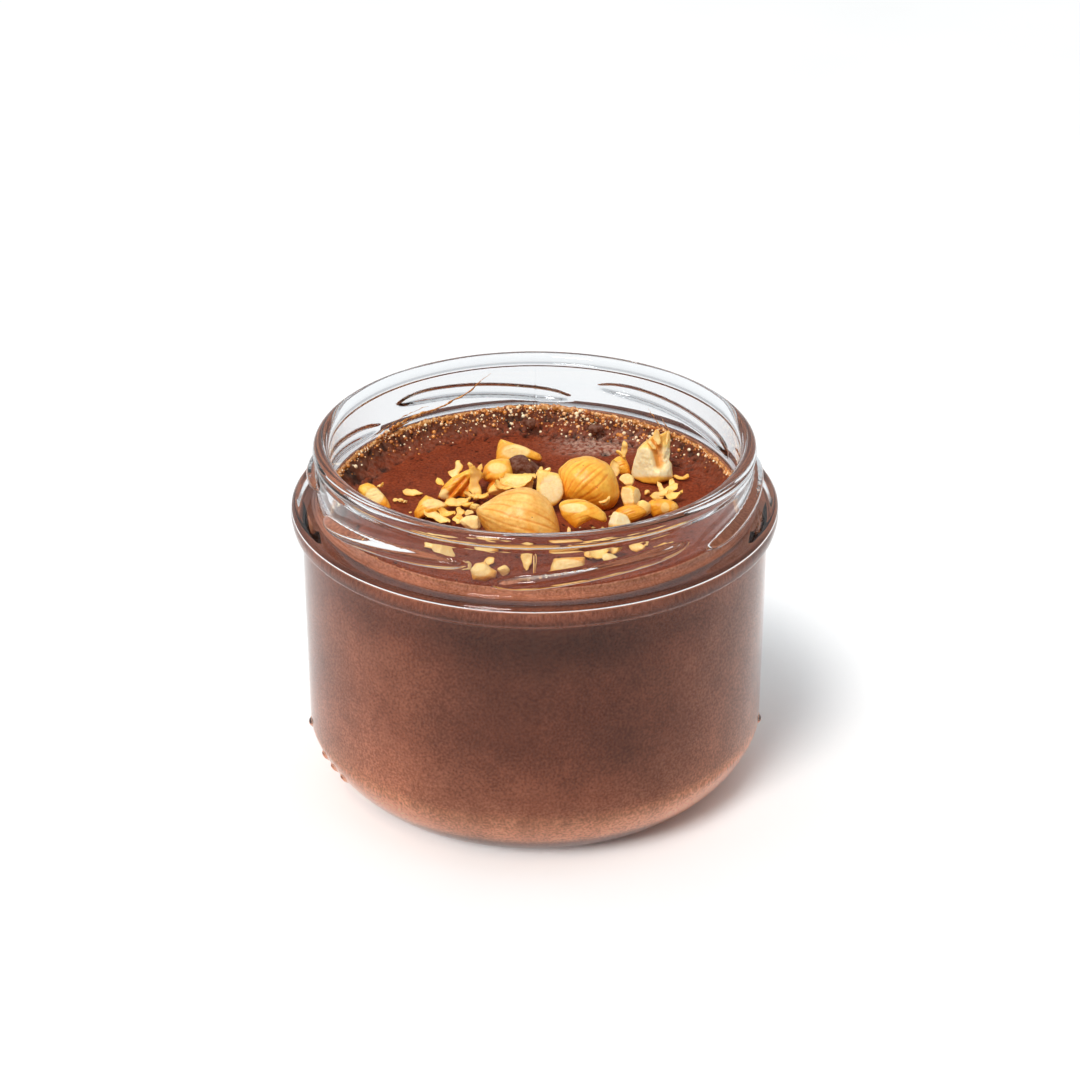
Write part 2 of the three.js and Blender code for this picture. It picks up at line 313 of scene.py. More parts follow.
def mousse_material():
    n = Nodes("mousse_foam")
    side = n.attribute("side")
    wet = n.attribute("wet")
    mottle = n.noise(4.5, 4)
    cloud = n.ramp(n.noise(17, 2), (0.35, 0.86), (0.65, 1.14))
    grain = n.noise(0.45, 2)
    top = n.mix(n.ramp(mottle, (0.3, 0.0), (0.72, 1.0)), (0.2, 0.036, 0.012), (0.285, 0.058, 0.02))
    wall = n.mix(n.ramp(mottle, (0.25, 0.0), (0.75, 1.0)), (0.16, 0.043, 0.02), (0.205, 0.06, 0.03))
    # Painted light and shade on the mousse against the glass: it brightens the wall colour, and the ramp
    # below makes it paler where it is brightest.
    glow = n.attribute("glow")
    wall = n.times(n.times(wall, glow), cloud)
    tint = n.ramp(n.math("MULTIPLY", glow, 0.25), (0.24, (0.98, 1, 1)), (0.45, (1, 1.24, 1.36)),
                  (0.9, (1.04, 1.6, 1.85)))
    wall = n.times(wall, tint)
    colour = n.mix(side, top, wall)
    darker, lighter = n.times(colour, (0.76, 0.7, 0.66)), n.times(colour, (1.3, 1.38, 1.42))
    colour = n.mix(n.ramp(grain, (0.36, 0.0), (0.66, 1.0)), darker, lighter)
    in_air = n.math("SUBTRACT", 1.0, n.math("MULTIPLY", side, 0.65))
    pinhole = n.math("MULTIPLY", n.ramp(n.specks(1.5), (0.08, 0.85), (0.15, 0.0)), in_air)
    colour = n.mix(pinhole, colour, (0.035, 0.008, 0.004))
    # The bank foam darkened: darker foam, with painted shade, most on the left.
    colour = n.mix(n.attribute("dark"), colour, (0.1, 0.024, 0.006))
    # Painted shade: pits, crevices, the crack and the hole nearly black.
    colour = n.mix(n.attribute("pore"), colour, (0.018, 0.005, 0.003))
    # Painted sheen: a pale greyish pink mixed into the moist patch, standing in for its reflection; the patch
    # is also glossier.
    shine = n.math("MULTIPLY", wet, n.ramp(n.noise(0.8, 4), (0.4, 0.05), (0.62, 0.75)))
    colour = n.mix(shine, colour, (0.62, 0.42, 0.33))
    gloss = n.ramp(n.noise(1.1, 3), (0.3, 0.5), (0.7, 0.7))
    roughness = n.mix(side, n.mix(wet, gloss, (0.28, 0.28, 0.28)), (0.9, 0.9, 0.9))
    relief = n.bump(n.noise(0.7, 5, roughness=0.75), 0.3, n.math("SUBTRACT", 1.0, side))
    return n.surface({
        "Base Color": colour, "Roughness": roughness, "Specular IOR Level": 0.15, "Normal": relief,
        "Subsurface Weight": 0.1, "Subsurface Radius": (1.0, 0.35, 0.2), "Subsurface Scale": 0.001,
    })


def bubble_material():
    n = Nodes("mousse_bubbles")
    patchy = n.math("MULTIPLY", n.math("SUBTRACT", n.noise(0.8, 2), 0.5), 0.5)
    tone = n.math("ADD", n.attribute("tone"), patchy)
    colour = n.ramp(tone, (0.0, (0.13, 0.03, 0.009)), (0.45, (0.36, 0.1, 0.027)), (0.75, (0.75, 0.3, 0.06)),
                    (1.0, (1.0, 0.86, 0.6)))
    roughness = n.ramp(n.noise(0.8, 2), (0.3, 0.08), (0.7, 0.22))
    return n.surface({"Base Color": colour, "Roughness": roughness, "Coat Weight": 0.3})


def smear_material():
    n = Nodes("mousse_film")
    streak = n.noise(0.6, 4)
    colour = n.ramp(streak, (0.32, (0.24, 0.065, 0.015)), (0.5, (0.6, 0.25, 0.06)), (0.68, (0.92, 0.6, 0.28)))
    roughness = n.ramp(streak, (0.3, 0.2), (0.7, 0.45))
    return n.surface({"Base Color": colour, "Roughness": roughness})


def kernel_material(name, golden, deep, cream):
    """Roasted kernel: golden skin, deeper low down as painted shade, darker in its grooves (the skin's
    stripes as its colour, the clefts as painted shade), and paler broken faces.
    """
    n = Nodes(name)
    cut = n.attribute("cut")
    cloud = n.ramp(n.noise(2.6, 3), (0.32, 0.0), (0.7, 1.0))
    skin = n.mix(cloud, golden, n.mix(0.75, golden, deep))
    fine = n.ramp(n.noise(0.9, 4, roughness=0.65), (0.35, (0.94, 0.86, 0.7)), (0.62, (1.05, 1.07, 1.12)))
    skin = n.times(skin, fine)
    # Painted shade: the lower side of each piece turns to the deep colour.
    skin = n.mix(n.attribute("low"), skin, deep)
    # Darker in the grooves: the stripes between the ridges as the skin's colour, the clefts as painted shade.
    skin = n.mix(n.math("MULTIPLY", n.attribute("groove"), 0.75), skin, n.times(deep, (0.85, 0.62, 0.5)))
    skin = n.mix(n.ramp(n.specks(1.9), (0.05, 0.8), (0.1, 0.0)), skin, (0.3, 0.1, 0.025))
    crumb = n.mix(n.ramp(n.noise(0.5, 4), (0.3, 0.0), (0.7, 1.0)), n.times(cream, (0.98, 0.86, 0.64)), cream)
    colour = n.mix(cut, skin, crumb)
    roughness = n.mix(cut, n.ramp(n.noise(1.5, 3), (0.3, 0.3), (0.7, 0.48)), (0.6, 0.6, 0.6))
    relief = n.bump(n.noise(0.6, 5, roughness=0.65), 0.12, 0.7)
    return n.surface({
        "Base Color": colour, "Roughness": roughness, "Normal": relief,
        "Subsurface Weight": 0.12, "Subsurface Radius": (1.0, 0.6, 0.25), "Subsurface Scale": 0.001,
    })


def floor_material():
    n = Nodes("pale_floor")
    tone = n.ramp(n.noise(60, 2), (0.3, 0.9), (0.7, 0.93))
    return n.surface({"Base Color": tone, "Roughness": 0.9, "Specular IOR Level": 0.2})


# ---------------------------------------------------------------- the jar


def arc(centre_radius, centre_height, radius, start, end, steps):
    angles = np.radians(np.linspace(start, end, steps + 1))
    return [(centre_radius + radius * math.cos(a), centre_height + radius * math.sin(a)) for a in angles]


def eased_corner(inner, outer, low, high, power, steps):
    """A corner between a floor and a wall, from the floor outwards, flatter than a circle's."""
    points = []
    for a in np.linspace(0, math.pi / 2, steps + 1):
        points.append((inner + (outer - inner) * math.sin(a) ** (2 / power),
                       high - (high - low) * math.cos(a) ** (2 / power)))
    return points


def line(start, end, steps):
    start, end = np.array(start), np.array(end)
    return [tuple(start + (end - start) * i / steps) for i in range(1, steps + 1)]


def rounded(corners, radius_steps=4):
    """An outline through these corners, each cut back by its own distance and rounded."""
    points = []
    for i, (r, z, cut) in enumerate(corners):
        here = np.array([r, z])
        if not cut:
            points.append((r, z))
            continue
        before, after = np.array(corners[i - 1][:2]), np.array(corners[i + 1][:2])
        a = here + (before - here) / np.linalg.norm(before - here) * cut
        b = here + (after - here) / np.linalg.norm(after - here) * cut
        for t in np.linspace(0, 1, radius_steps + 1):
            points.append(tuple((1 - t) ** 2 * a + 2 * t * (1 - t) * here + t * t * b))
    return points


def inner_line(inset):
    """The inside of the glass, from the floor's edge up to the neck, moved inwards by the inset."""
    corner = eased_corner(30.6, BODY_FOOT_RADIUS - WALL - inset, FLOOR_HEIGHT + inset, 12.8, 1.43, 16)
    shoulder = rounded([
        (BODY_FOOT_RADIUS - WALL - inset, 12.8, 0),
        (BODY_TOP_RADIUS - WALL - inset, 49.2, 2.2),
        (MOUTH_RADIUS - inset, 54.2, 1.6),
        (MOUTH_RADIUS - inset, 56.0, 0),
    ], 8)
    return corner + shoulder[1:-1]


def resampled(outline, spacing):
    """The outline with points added wherever two are further apart than the spacing."""
    points = [outline[0]]
    for end in outline[1:]:
        steps = max(1, math.ceil(math.dist(points[-1], end) / spacing))
        points += line(points[-1], end, steps)
    return points


def lug_height(azimuth, height):
    """How far the thread lugs stand out of the neck. Each climbs to the right and narrows at both ends."""
    along = ((azimuth - FIRST_LUG) % (360 / LUG_COUNT)) / LUG_SPAN
    middle = LUG_LOW + LUG_RISE * np.sin(np.clip(along, 0, 1) * math.pi / 2) ** 1.15
    start = np.sqrt(1 - (1 - np.clip(along / 0.2, 0, 1)) ** 2)
    end = np.sqrt(1 - (1 - np.clip((1 - along) / 0.26, 0, 1)) ** 2)
    full = start * end
    across = np.clip(np.abs(height - middle) / np.maximum(LUG_HALF_WIDTH * full, 1e-3), 0, 1)
    return LUG_PROUD * full * (1 - across**2.6) ** 0.75


def seam_height(azimuth, height):
    """The faint joint line of the mould, at the front and the back of the neck and shoulder."""
    off = np.minimum(np.abs((azimuth + 180) % 360 - 180), np.abs(azimuth % 360 - 180))
    reach = smoothstep(46, 50, height) * (1 - smoothstep(62.6, 63.2, height))
    return 0.13 * np.exp(-((off / 0.22) ** 2)) * reach


HEEL_DOTS = [(-69.5, 9.2), (-65, 8.2), (-60.5, 7.4), (-82, 11.4), (84, 11.2)]


def dot_height(azimuth, height):
    """The small oval bumps of the mould's code round the heel."""
    total = np.zeros_like(azimuth)
    for dot_azimuth, dot_level in HEEL_DOTS:
        across = ((azimuth - dot_azimuth + 180) % 360 - 180) * math.radians(1) * BODY_FOOT_RADIUS
        total += 0.5 * np.exp(-((across / 0.78) ** 2 + ((height - dot_level) / 0.9) ** 2) ** 2)
    return total


def jar_columns():
    """Azimuths of the jar's columns, closer together at the seams and the heel dots."""
    azimuths = list(np.arange(0, 360, 1.25))
    for seam in (0, 180):
        azimuths += [(seam + d) % 360 for d in (-0.6, -0.42, -0.3, -0.2, -0.1, 0.1, 0.2, 0.3, 0.42, 0.6)]
    for dot_azimuth, _ in HEEL_DOTS:
        azimuths += [(dot_azimuth + d) % 360 for d in np.arange(-2.25, 2.3, 0.5)]
    return np.array(sorted(set(np.round(azimuths, 3))))


def jar_outline():
    """The outside from the foot's middle to the top of the rim, and the inside back down to the floor."""
    bead_radius, bead_height = MOUTH_RADIUS + RIM_BEAD, JAR_HEIGHT - RIM_BEAD
    foot = rounded([(0, 1.6, 0), (27, 0.8, 1.5), (29.6, 0, 0.8), (31.1, 0, 0.6), (FOOT_RADIUS, 0.5, 0)])
    heel = eased_corner(FOOT_RADIUS, BODY_FOOT_RADIUS, 0.5, HEEL_HEIGHT, 1.38, 26)[1:]
    heel = resampled(heel + [(BODY_FOOT_RADIUS + 0.03, 13.5)], 0.45)
    shoulder = rounded([
        (BODY_FOOT_RADIUS + 0.03, 13.5, 0), (BODY_TOP_RADIUS, BODY_TOP_HEIGHT, 0.5), (43.5, 50.9, 0.8),
        (SHOULDER_RADIUS, 53.4, 1.0), (43.5, LEDGE_HEIGHT, 0.9), (40.6, 54.8, 0.8), (NECK_RADIUS, 54.7, 0.6),
        (NECK_RADIUS, 56, 0),
    ])
    neck = resampled([(NECK_RADIUS, 55.6), (NECK_RADIUS, BEAD_LOW - 0.2)], 0.2)
    crease = [(-0.05, 0.1), (-0.28, 0.35), (-0.3, 0.5), (-0.1, 0.72)]
    rim = [(NECK_RADIUS + r, BEAD_LOW + z) for r, z in crease]
    rim += arc(bead_radius, bead_height, RIM_BEAD, -28, 180, BEAD_STEPS)
    outside = resampled(foot, 3) + heel[1:] + resampled(shoulder[1:-1], 1.2) + neck + rim
    inside = [(MOUTH_RADIUS, 60.0)] + list(reversed(inner_line(0))) + [(15, FLOOR_HEIGHT)]
    return outside, inside


def make_jar(material):
    outside, inside = jar_outline()
    outline = np.array(outside[1:] + inside)
    azimuths = jar_columns()
    rows, columns = len(outline), len(azimuths)
    radii, heights = outline[:, :1] * np.ones(columns), outline[:, 1:] * np.ones(columns)
    azimuth = azimuths * np.ones((rows, 1))
    shell = np.arange(rows)[:, None] < len(outside) - BEAD_STEPS - 1
    on_neck = shell & (heights > LEDGE_HEIGHT - 0.4) & (radii < NECK_RADIUS + 0.6)
    radii = radii + np.where(on_neck, lug_height(azimuth, heights), 0)
    radii = radii + np.where(shell, seam_height(azimuth, heights) + dot_height(azimuth, heights), 0)
    points = at_azimuth(radii, azimuth, heights).reshape(-1, 3)
    points = np.vstack([points, [0, 0, outside[0][1]], [0, 0, FLOOR_HEIGHT]])
    faces = [grid_faces(rows, columns), fan_faces(rows * columns, 0, columns, flip=True),
             fan_faces(rows * columns + 1, (rows - 1) * columns, columns)]
    return as_piece(mesh_object("glass_jar", points, faces), material, "jar_glass", "jar")


# ---------------------------------------------------------------- the mousse


def bank_height(azimuth):
    """Height of the line where the mousse meets the glass."""
    back_rise = 0.65 * np.exp(-(((np.abs(azimuth) - 180) / 14) ** 2))
    return BANK_LEVEL + 0.35 * np.cos(np.radians(azimuth + 110)) + back_rise


def mousse_top(x, y):
    """Height of the mousse's top at each place; how moist it is, with a painted sheen; how much the bank foam
    is darkened, partly as painted shade; and how deep it is in a pit, painted nearly black as shade.
    """
    radius = np.hypot(x, y)
    azimuth = np.degrees(np.arctan2(x, -y))
    flat = np.stack([x, y, np.zeros_like(x)], axis=-1)
    start = BANK_START + 0.7 * np.sin(np.radians(3 * azimuth + 40))
    start = start + 0.9 * noise(flat, 5, 11) + 0.5 * noise(flat, 1.6, 12)
    climb = np.clip((radius - start) / (MOUTH_RADIUS - start), 0, 1)
    swell = 0.25 * np.sin(x / 6.5 + 1) * np.cos(y / 7.5)
    height = MOUSSE_LEVEL + swell * (1 - climb) + (bank_height(azimuth) - MOUSSE_LEVEL) * climb**1.7
    height = height + 0.16 * rough(flat, 3.4, 21) + 0.07 * rough(flat, 0.9, 31, 2)
    # The foam along the bank: bubbles, pores and crevices, mostly at the back and on the left.
    back = smoothstep(95, 140, np.abs(azimuth))
    left = smoothstep(-40, -75, azimuth) * (1 - back)
    reach = 31.8 - 2.6 * np.exp(-(((azimuth - 164) / 16) ** 2)) + 0.8 * noise(flat, 2.2, 13)
    foam = smoothstep(-0.6, 0.8, radius - reach) * np.clip(back + 0.55 * left + 0.3, 0, 1)
    warp = np.stack([noise(flat, 1.3, 51), noise(flat, 1.3, 52), 0 * x], axis=-1)
    bent = flat + 0.55 * warp
    distance, own = cells(bent, 1.15, 3)
    height = height + foam * 0.3 * (1 - distance**2) * (own > 0.35)
    pore = foam * smoothstep(0.45, 0.22, distance) * (own < 0.3)
    crevice = smoothstep(0.2, 0.05, np.abs(noise(bent, 1.7, 53)))
    crevice = crevice * smoothstep(-0.35, 0.1, noise(flat, 2.6, 54))
    pore = np.maximum(pore, foam * crevice * np.clip(back + 0.8 * left, 0, 1))
    height = height - 0.7 * pore
    # Small pits in the middle, a crack round the foot of the bank and one hole at the back right.
    small, small_own = cells(flat, 1.9, 9)
    dip = smoothstep(0.22, 0.12, small) * (small_own > 0.5) * (1 - foam)
    height = height - 0.35 * dip
    wander = 0.7 * noise(flat, 1.4, 15)
    ragged = np.exp(-(((radius - start - 0.2 - wander) / 0.3) ** 2))
    ragged = ragged * smoothstep(-0.2, 0.3, noise(flat, 1.5, 14))
    ragged = ragged * np.clip(smoothstep(-45, -70, azimuth) + smoothstep(100, 120, azimuth), 0, 1)
    height = height - 0.3 * ragged
    hole = smoothstep(1.0, 0.75, np.hypot((x - 13.3) / 1.15, (y - 24.2) / 1.4))
    height = height - 0.8 * hole
    # The pits, crevices, crack and hole are painted nearly black in the material: painted shade in their
    # hollows.
    pore = np.clip(np.max([pore, dip, 0.9 * ragged, hole], axis=0), 0, 1)
    # A moist patch at the back right, which also gets a painted sheen, and the darker foam of the bank, with
    # painted shade added on the left, where the wall shades it, and up towards the glass.
    wet = 1.2 * np.exp(-(((x - 11 - 0.25 * (28 - y)) / 6.5) ** 2 + ((y - 27) / 3.6) ** 4)) + 0.15 * foam
    shaded = 0.65 + 0.35 * left + 0.15 * (azimuth < 0)
    dark = np.clip(foam * (0.3 + 0.7 * smoothstep(0.3, 0.8, climb)) * shaded, 0, 1)
    return height, np.clip(wet, 0, 1), dark, pore


def wall_glow(azimuth, height):
    """Painted light and shade on the mousse against the glass: lightest in the heel, behind the neck and at
    the sides, and darker at the front and under the ledge.

    This is a colour and not light, so it stays where it is when the lamps move.
    """
    around = 0.6 * smoothstep(40, 85, np.abs(azimuth))
    left = 0.78 * np.exp(-(((azimuth + 48) / 26) ** 2)) * (1 - 0.4 * smoothstep(38, 48, height))
    right = 1.05 * smoothstep(16, 60, azimuth) * (1 - smoothstep(95, 140, azimuth))
    heel = 0.6 * smoothstep(27, 14, height) + 3.4 * smoothstep(14, 7.5, height) * smoothstep(4.4, 6.2, height)
    ledge = 0.45 * smoothstep(38, 47, height)
    body = (around + left + right) * smoothstep(51, 48, height) + heel - ledge * smoothstep(52, 50, height)
    return 0.92 + body + 1.3 * smoothstep(50.5, 52.5, height)


def make_mousse(material):
    columns = 640
    side = resampled([(15, FLOOR_HEIGHT - INTO_WALL)] + inner_line(-INTO_WALL), 2.0)
    edge_radius = MOUTH_RADIUS + INTO_WALL
    radii = np.concatenate([np.arange(edge_radius, 27, -0.25), np.arange(27, 0.4, -0.5)])[:, None]
    around = np.arange(columns) * 360 / columns
    turn = np.radians(around)
    x, y = radii * np.sin(turn), -radii * np.cos(turn)
    height, wet, dark, pore = mousse_top(x, y)
    side = np.array(side)
    side_height = side[:, 1:] * np.ones(columns)
    side_points = at_azimuth(side[:, :1], around, side_height)
    points = np.concatenate([side_points, np.stack([x, y, height], axis=-1)]).reshape(-1, 3)
    rows, count = len(side) + len(radii), len(points)
    azimuth = (np.degrees(turn) + 180) % 360 - 180
    # Painted light and shade for the mousse against the glass, by height and azimuth.
    glow = wall_glow(azimuth, np.concatenate([side_height, height])).ravel()
    points = np.vstack([points, [0, 0, side[0][1]], [0, 0, height[-1].mean()]])
    faces = [grid_faces(rows, columns), fan_faces(count, 0, columns, flip=True),
             fan_faces(count + 1, (rows - 1) * columns, columns)]

    def spread(values, on_side):
        return np.concatenate([np.full(len(side) * columns, on_side), values.ravel(), [0, 0]])

    on_wall = np.zeros_like(x)
    on_wall[0] = 1
    obj = mesh_object("mousse_body", points, faces, side=spread(on_wall, 1.0), wet=spread(wet, 0.0),
                      dark=spread(dark, 0.0), pore=spread(pore, 0.0), glow=np.append(glow, [1, 1]))
    return as_piece(obj, material, "mousse_foam", "mousse")


def dome(rings=3, sides=8):
    """A small bubble: the upper part of a ball, in units of its radius."""
    tilt = np.radians(np.arange(1, rings + 1) * 40)[:, None]
    turn = 2 * np.pi * np.arange(sides) / sides
    across = np.sin(tilt)
    ring = np.stack(np.broadcast_arrays(across * np.cos(turn), across * np.sin(turn), np.cos(tilt)), axis=-1)
    points = np.vstack([[[0, 0, 1]], ring.reshape(-1, 3), [[0, 0, -0.8]]])
    faces = [fan_faces(0, 1, sides), grid_faces(rings, sides)[:, ::-1] + 1,
             fan_faces(1 + rings * sides, 1 + (rings - 1) * sides, sides, flip=True)]
    return points, faces


def make_bubbles(material, random):
    """Bubbles along the bank, most of them at the back, and fine froth where the foam meets the glass."""
    shape, faces = dome()
    back_right, back_left = random.normal(166, 24, BUBBLES_BACK), random.normal(-150, 26, BUBBLES_LEFT)
    azimuths = np.concatenate([back_right, back_left, random.uniform(0, 360, FROTH_COUNT)])
    count = len(azimuths)
    froth = np.arange(count) >= BUBBLES_BACK + BUBBLES_LEFT
    depth = np.abs(random.normal(0, 1, count))
    inward = depth * np.where(froth, 0.25, np.where(np.abs(azimuths) > 125, 1.8, 0.9))
    sizes = np.where(froth, 0.07 + random.exponential(0.05, count), 0.1 + random.exponential(0.1, count))
    tones = np.where(froth, random.uniform(0.55, 1.0, count), random.uniform(0.35, 1.1, count))
    sizes = np.minimum(sizes, 0.45)
    centres = at_azimuth(MOUTH_RADIUS - 0.1 - inward, azimuths, 0.0)
    centres[:, 2] = mousse_top(centres[:, 0], centres[:, 1])[0] - sizes * 0.2
    parts = [(shape * size + centre, faces, tone) for centre, size, tone in zip(centres, sizes, tones)]
    for _ in range(STREAK_BUBBLES):
        size = random.uniform(0.15, 0.42)
        along = random.uniform(0, 1)
        centre = at_azimuth(MOUTH_RADIUS - 0.15, -127.5 - 7 * along + random.normal(0, 0.5),
                            55.6 + 1.0 * along + random.normal(0, 0.25))
        parts.append((shape * size + centre, faces, random.uniform(0.3, 1)))
    points, faces, tones = joined(parts)
    return as_piece(mesh_object("mousse_bubbles", points, faces, tone=tones), material, "mousse_foam")


def strand(path, widths, seed):
    """A streak of mousse on the inside of the glass, along a path of (azimuth, height), with its widths."""
    path, share = np.array(path, float), np.linspace(0, 1, 90)
    knots = np.linspace(0, 1, len(path))
    azimuth, height = (np.interp(share, knots, path[:, k]) for k in (0, 1))
    probe = np.stack([share * 40, np.zeros(90), np.zeros(90)], axis=-1)
    width = np.interp(share, knots, widths) * (0.55 + 0.45 * noise(probe, 1.3, seed)) + 0.03
    azimuth, height = azimuth + 0.35 * noise(probe, 2, seed + 1), height + 0.12 * noise(probe, 1.5, seed + 2)
    across = np.array([[-0.5, 0.0], [-0.3, 0.1], [0.0, 0.16], [0.3, 0.1], [0.5, 0.0], [0.0, -0.06]])
    offset = across[:, 0] * width[:, None]
    inset = across[:, 1] * np.minimum(width, 0.8)[:, None] / 0.8 * 1.6
    radius = MOUTH_RADIUS - 0.01 - inset
    points = at_azimuth(radius, azimuth[:, None] + 0.6 * offset, height[:, None] + offset).reshape(-1, 3)
    faces = [grid_faces(90, 6), np.array([[5, 4, 3, 2, 1, 0]]), np.arange(89 * 6, 90 * 6)[None, :]]
    return points, faces, 0.5


def contact_line():
    """The ragged edge that the mousse draws along the glass."""
    steps = 1440
    azimuth = np.arange(steps) * 360 / steps - 180
    probe = at_azimuth(MOUTH_RADIUS, azimuth, 0.0)
    reach = 0.12 + 0.3 * smoothstep(-0.2, 0.8, noise(probe, 1.7, 41))
    reach = reach + 0.3 * smoothstep(0, 0.8, noise(probe, 0.5, 42))
    base = bank_height(azimuth) - 0.6
    low, middle = 0 * reach, 0.6 + 0 * reach
    rows = [(-0.05, low), (0.5, low), (0.28, middle), (0.1, 0.6 + reach), (-0.05, 0.6 + reach)]
    points = np.concatenate([at_azimuth(MOUTH_RADIUS - inset, azimuth, base + up) for inset, up in rows])
    closing = grid_faces(2, steps)
    closing = np.where(closing >= steps, closing - steps, closing + 4 * steps)
    return points, [grid_faces(5, steps), closing], 0.5


def make_smears(material):
    parts = [
        contact_line(),
        strand([(-127, 55.3), (-132.9, 56.3), (-140.7, 57.2), (-151.1, 57.7), (-159, 59.3), (-166.8, 63.1)],
               [1.9, 1.5, 0.8, 0.6, 0.45, 0.1], 61),
        strand([(-130, 55.5), (-137, 56.3), (-144, 57.0), (-150, 57.3)], [0.8, 0.6, 0.35, 0.08], 71),
        strand([(-123, 56.2), (-130, 57.0), (-139, 58.1), (-147, 58.6)], [0.05, 0.3, 0.25, 0.05], 81),
        strand([(138, 54.6), (141, 55.9), (143.5, 57.4), (145, 58.4)], [0.9, 0.5, 0.3, 0.06], 91),
        strand([(136, 54.9), (138.5, 56.2), (139.5, 57.2)], [0.5, 0.3, 0.05], 95),
    ]
    points, faces, _ = joined(parts)
    return as_piece(mesh_object("mousse_film", points, faces), material, "mousse_foam")


# ---------------------------------------------------------------- the nuts


def ball(subdivisions):
    """Directions spread evenly over a ball, and the triangles between them."""
    shape = bmesh.new()
    bmesh.ops.create_icosphere(shape, subdivisions=subdivisions, radius=1)
    points = np.array([v.co[:] for v in shape.verts])
    faces = np.array([[v.index for v in f.verts] for f in shape.faces])
    shape.free()
    return points / np.linalg.norm(points, axis=1, keepdims=True), faces


def turn_matrix(degrees):
    return np.array(Euler([math.radians(d) for d in degrees], "XYZ").to_matrix())


def outline_reach(outline, soft):
    """How far a closed outline lies from its centre every half degree, with its corners softened."""
    corners = np.array(outline, float)
    corners = corners[np.argsort(np.arctan2(corners[:, 1], corners[:, 0]))]
    following = np.roll(corners, -1, axis=0)
    degrees = np.arange(-180, 180, 0.5)
    ray = np.stack([np.cos(np.radians(degrees)), np.sin(np.radians(degrees))], axis=-1)[:, None]

    def cross(a, b):
        return a[..., 0] * b[..., 1] - a[..., 1] * b[..., 0]

    hit = (cross(corners, ray) >= -1e-9) & (cross(ray, following) > 0)
    slope = cross(ray, following - corners)
    reach = np.where(hit, cross(corners, following - corners) / np.where(hit, slope, 1), np.inf).min(axis=1)
    kernel = np.exp(-((np.arange(-60, 61) * 0.5 / soft) ** 2))
    reach = np.convolve(np.concatenate([reach[-60:], reach, reach[:60]]), kernel / kernel.sum(), "valid")
    return degrees, reach


